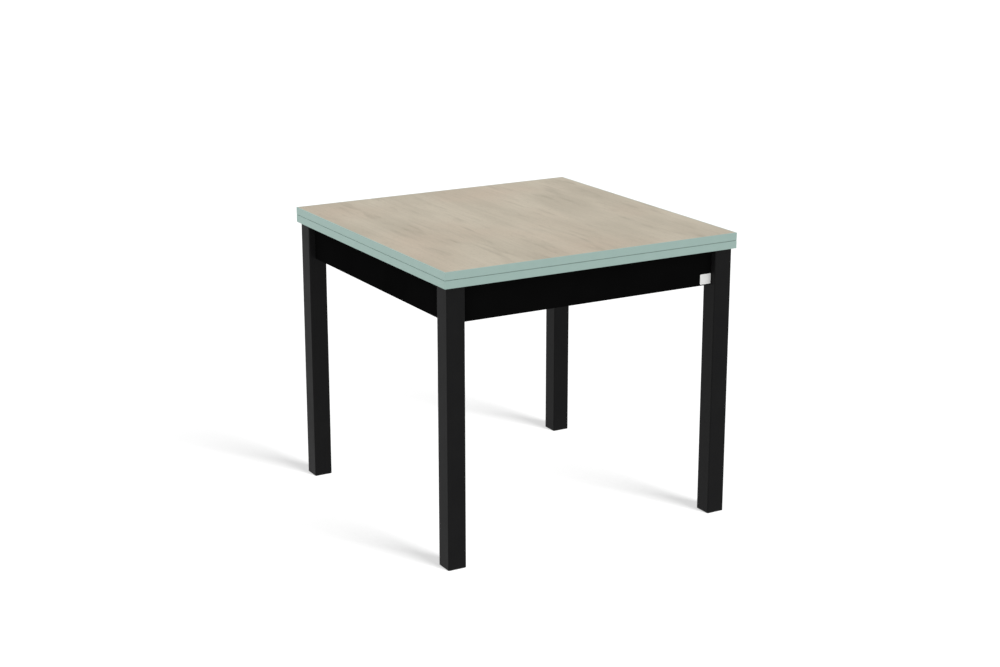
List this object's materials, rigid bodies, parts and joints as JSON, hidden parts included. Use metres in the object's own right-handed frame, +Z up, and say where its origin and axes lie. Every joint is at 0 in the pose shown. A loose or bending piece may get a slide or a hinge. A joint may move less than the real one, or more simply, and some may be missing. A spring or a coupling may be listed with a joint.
{
  "type": "swivel extending table",
  "caption": "Square kitchen table on black tube legs whose two-leaf oak top with green edges swivels a quarter turn and unfolds like a book to double its length.",
  "frame": {"origin": "on the floor under the middle of the folded top", "axes": "+Z up; -Y is the front, where the blank tag is; +Y is the side with the hinges"},
  "size_m": [0.85, 0.85, 0.76],
  "materials": {
    "black_lacquer": "satin black lacquer on steel tube",
    "black_moulding": "moulded black polyethylene",
    "black_board": "matt black melamine on particle board",
    "oak_board": "light oak decor on particle board",
    "green_edging": "satin sea-green ABS edge band",
    "zinc_steel": "zinc plated steel",
    "nickel_hinge": "nickel plated steel",
    "natural_nylon": "natural nylon",
    "white_tag": "plain white plastic",
    "clear_buffer": "milky polyurethane"
  },
  "bodies": {
    "frame": {"leg_front_left": "black_lacquer", "leg_front_right": "black_lacquer", "leg_rear_left": "black_lacquer", "leg_rear_right": "black_lacquer", "foot_cap_front_left": "black_moulding", "foot_cap_front_right": "black_moulding", "foot_cap_rear_left": "black_moulding", "foot_cap_rear_right": "black_moulding", "top_cap_front_left": "black_moulding", "top_cap_front_right": "black_moulding", "top_cap_rear_left": "black_moulding", "top_cap_rear_right": "black_moulding", "apron_front": "black_board", "apron_rear": "black_board", "apron_left": "black_board", "apron_right": "black_board", "bracket_front_left": "zinc_steel", "bracket_front_right": "zinc_steel", "bracket_rear_left": "zinc_steel", "bracket_rear_right": "zinc_steel", "glide_buttons": "natural_nylon", "bracket_screws": "zinc_steel", "leg_nut_blocks": "zinc_steel", "leg_bolts": "zinc_steel", "leg_washers": "zinc_steel", "blank_tag": "white_tag", "pivot_rail": "black_lacquer", "rail_screws": "zinc_steel", "pivot_bush": "natural_nylon", "thrust_washer": "natural_nylon", "stop_pin": "zinc_steel"},
    "lower_leaf": {"lower_leaf_board": "oak_board", "lower_leaf_edge_front": "green_edging", "lower_leaf_edge_rear": "green_edging", "lower_leaf_edge_left": "green_edging", "lower_leaf_edge_right": "green_edging", "swivel_plate": "zinc_steel", "swivel_plate_screws": "zinc_steel", "pivot_bolt": "zinc_steel", "pivot_washer": "zinc_steel", "disc_spring": "zinc_steel", "lock_nut": "zinc_steel", "lower_hinge_plates": "nickel_hinge", "lower_hinge_pins": "nickel_hinge", "lower_hinge_screws": "nickel_hinge", "leaf_buffers": "clear_buffer"},
    "hinge_links": {"hinge_links": "nickel_hinge"},
    "upper_leaf": {"upper_leaf_board": "oak_board", "upper_leaf_edge_front": "green_edging", "upper_leaf_edge_rear": "green_edging", "upper_leaf_edge_left": "green_edging", "upper_leaf_edge_right": "green_edging", "upper_hinge_plates": "nickel_hinge", "upper_hinge_pins": "nickel_hinge", "upper_hinge_screws": "nickel_hinge"}
  },
  "joints": [
    {"name": "top_swivel", "type": "hinge", "parent": "frame", "child": "lower_leaf", "pos_m": [0.2127, 0.2127, 0.7], "axis": [0, 0, 1], "range_deg": [0, 90]},
    {"name": "upper_leaf_fold", "type": "hinge", "parent": "lower_leaf", "child": "upper_leaf", "pos_m": [0, 0.4254, 0.73955], "axis": [-1, 0, 0], "range_deg": [0, 180]},
    {"name": "hinge_link_swing", "type": "hinge", "parent": "lower_leaf", "child": "hinge_links", "pos_m": [0, 0.4223, 0.73645], "axis": [-1, 0, 0], "range_deg": [0, 90]}
  ],
  "couplings": [
    {"joint": "hinge_link_swing", "follows": "upper_leaf_fold", "ratio": 0.5}
  ]
}
